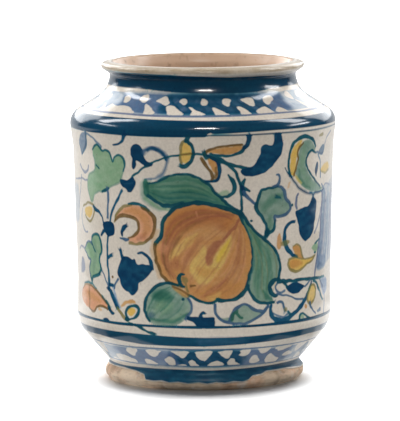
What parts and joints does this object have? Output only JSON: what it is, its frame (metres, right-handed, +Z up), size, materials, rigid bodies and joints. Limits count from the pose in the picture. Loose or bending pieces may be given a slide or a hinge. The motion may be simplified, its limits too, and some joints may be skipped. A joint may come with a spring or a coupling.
{
  "type": "albarello drug jar",
  "caption": "Wheel-thrown earthenware drug jar with a rolled foot, near-straight walls, sloping shoulder, short neck and everted lip; tin-glazed and banded, it stores dry or thick goods.",
  "frame": {"origin": "on the axis of the jar, at the level the foot stands on", "axes": "+Z up along the axis of the jar; -Y towards the painted side shown in the picture"},
  "size_m": [0.1586, 0.1586, 0.19],
  "materials": {
    "earthenware": "matt, porous, unglazed",
    "tin_glaze": "glossy opaque white glaze",
    "clear_glaze": "thin clear glaze with a soft sheen",
    "cobalt_glaze": "glossy cobalt blue in the white glaze"
  },
  "bodies": {
    "root": {"clay_body": "earthenware", "outer_glaze": "tin_glaze", "lining_glaze": "clear_glaze", "foot_band": "cobalt_glaze", "wall_band": "cobalt_glaze", "shoulder_band": "cobalt_glaze", "neck_band": "cobalt_glaze", "drawn_lines": "cobalt_glaze"}
  },
  "joints": []
}
